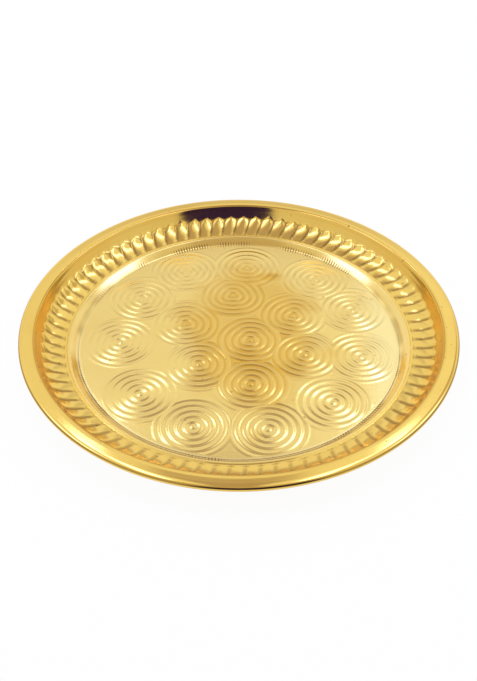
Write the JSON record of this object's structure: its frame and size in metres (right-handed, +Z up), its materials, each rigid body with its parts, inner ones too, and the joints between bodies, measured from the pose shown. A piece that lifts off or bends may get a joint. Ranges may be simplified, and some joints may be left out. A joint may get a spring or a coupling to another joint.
{
  "type": "thali plate",
  "caption": "Round shallow pressed brass plate with slanting flutes on its border, a crowned rim rolled over a wire, and rippled ring ornaments on a flat floor.",
  "frame": {"origin": "centre of the flat underside of the floor", "axes": "+Z up along the plate's axis, +X to the right and +Y away from the viewer in the picture"},
  "size_m": [0.28, 0.28, 0.0185],
  "materials": {
    "brass": "polished",
    "wire": "drawn"
  },
  "bodies": {
    "root": {"plate": "brass", "rim_wire": "wire"}
  },
  "joints": []
}
